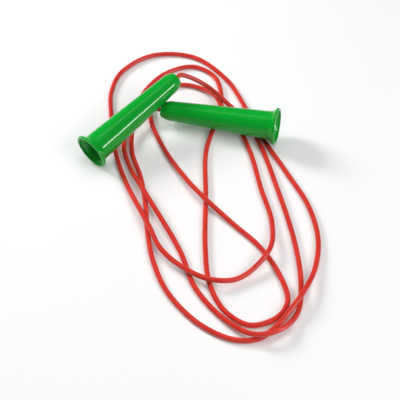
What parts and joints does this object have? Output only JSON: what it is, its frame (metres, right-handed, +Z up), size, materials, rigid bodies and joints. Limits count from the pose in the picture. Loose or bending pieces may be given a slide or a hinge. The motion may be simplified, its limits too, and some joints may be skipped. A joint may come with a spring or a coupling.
{
  "type": "skipping rope",
  "caption": "Skipping rope lying in loose loops: a round plastic cord with hollow flared handles that turn on its ends.",
  "frame": {"origin": "on the ground under the middle of the box around the handles", "axes": "+Z up from the ground, +X along the right handle from its nose towards its open rim, +Y level across it towards the far side"},
  "size_m": [0.27, 0.379, 0.0509],
  "materials": {
    "cord_plastic": "extruded soft PVC, glossy",
    "handle_plastic": "injection moulded, glossy",
    "washer_steel": "zinc plated",
    "ferrule_aluminium": "crimped tube"
  },
  "bodies": {
    "rope": {"cord": "cord_plastic", "left_ferrule": "ferrule_aluminium", "right_ferrule": "ferrule_aluminium"},
    "right_washer": {"right_washer": "washer_steel"},
    "right_handle": {"right_handle": "handle_plastic"},
    "left_washer": {"left_washer": "washer_steel"},
    "left_handle": {"left_handle": "handle_plastic"}
  },
  "joints": [
    {"name": "right_slide", "type": "slide", "parent": "rope", "child": "right_washer", "axis": [-0.9991, 0, -0.0416], "range_m": [0, 0.004]},
    {"name": "right_spin", "type": "hinge", "parent": "right_washer", "child": "right_handle", "pos_m": [-0.0285, 0.034, 0.01618], "axis": [0.9991, 0, 0.0416], "continuous": true},
    {"name": "left_slide", "type": "slide", "parent": "rope", "child": "left_washer", "axis": [0.4767, 0.8601, 0.1817], "range_m": [0, 0.004]},
    {"name": "left_spin", "type": "hinge", "parent": "left_washer", "child": "left_handle", "pos_m": [-0.019, 0.057, 0.04208], "axis": [-0.4767, -0.8601, -0.1817], "continuous": true}
  ]
}
